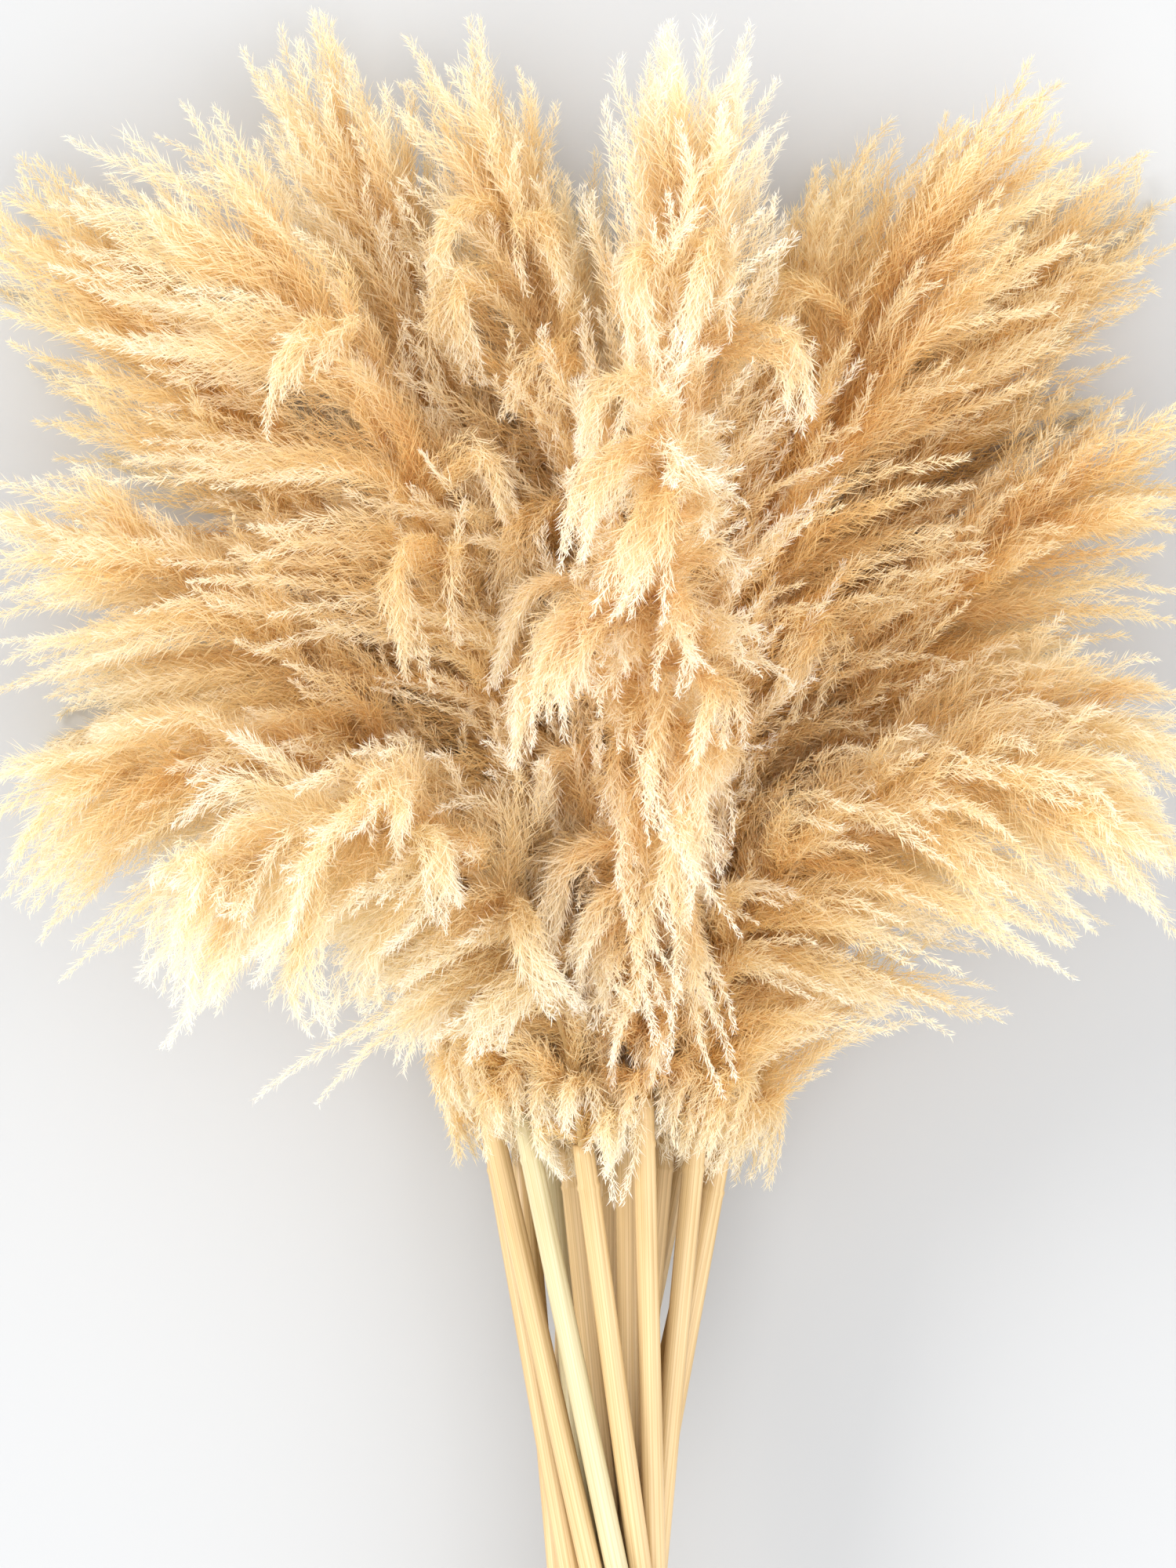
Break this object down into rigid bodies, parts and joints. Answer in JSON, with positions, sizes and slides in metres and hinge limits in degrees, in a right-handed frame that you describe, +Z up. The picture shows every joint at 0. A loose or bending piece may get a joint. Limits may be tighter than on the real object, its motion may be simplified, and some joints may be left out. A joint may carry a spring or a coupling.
{
  "type": "bundle of pampas grass",
  "caption": "Hand-tied bundle of dried pampas grass: a spiral of bare straw-coloured stems that opens into a wide fan of feathery cream and gold plumes, lying on its side.",
  "frame": {"origin": "bottom centre of the bundle as it lies on a flat surface", "axes": "+Y along the bundle from the cut ends of the stems to the tips of the plumes, +Z up from the surface it lies on, +X across it"},
  "size_m": [0.6926, 1.222, 0.3845],
  "materials": {
    "straw": "smooth dry cane with a satin sheen",
    "straw_pale": "smooth dry cane, paler and a little green",
    "plume_cream": "soft matte plume hairs, warm cream",
    "plume_gold": "soft matte plume hairs, golden tan",
    "plume_pale": "soft matte plume hairs, nearly white at the tips",
    "twine": "rough twisted jute"
  },
  "bodies": {
    "root": {"stem_01": "straw", "stem_02": "straw", "stem_03": "straw", "stem_04": "straw", "stem_05": "straw_pale", "stem_06": "straw", "stem_07": "straw", "stem_08": "straw", "stem_09": "straw", "stem_10": "straw", "stem_11": "straw", "stem_12": "straw", "stem_13": "straw_pale", "stem_14": "straw", "stem_15": "straw", "stem_16": "straw", "stem_17": "straw", "stem_18": "straw", "stem_19": "straw", "plume_01": "plume_cream", "plume_02": "plume_gold", "plume_03": "plume_pale", "plume_04": "plume_cream", "plume_05": "plume_cream", "plume_06": "plume_cream", "plume_07": "plume_gold", "plume_08": "plume_gold", "plume_09": "plume_cream", "plume_10": "plume_cream", "plume_11": "plume_pale", "plume_12": "plume_pale", "plume_13": "plume_cream", "plume_14": "plume_cream", "plume_15": "plume_gold", "plume_16": "plume_cream", "plume_17": "plume_cream", "plume_18": "plume_gold", "plume_19": "plume_gold", "twine_tie": "twine"}
  },
  "joints": []
}
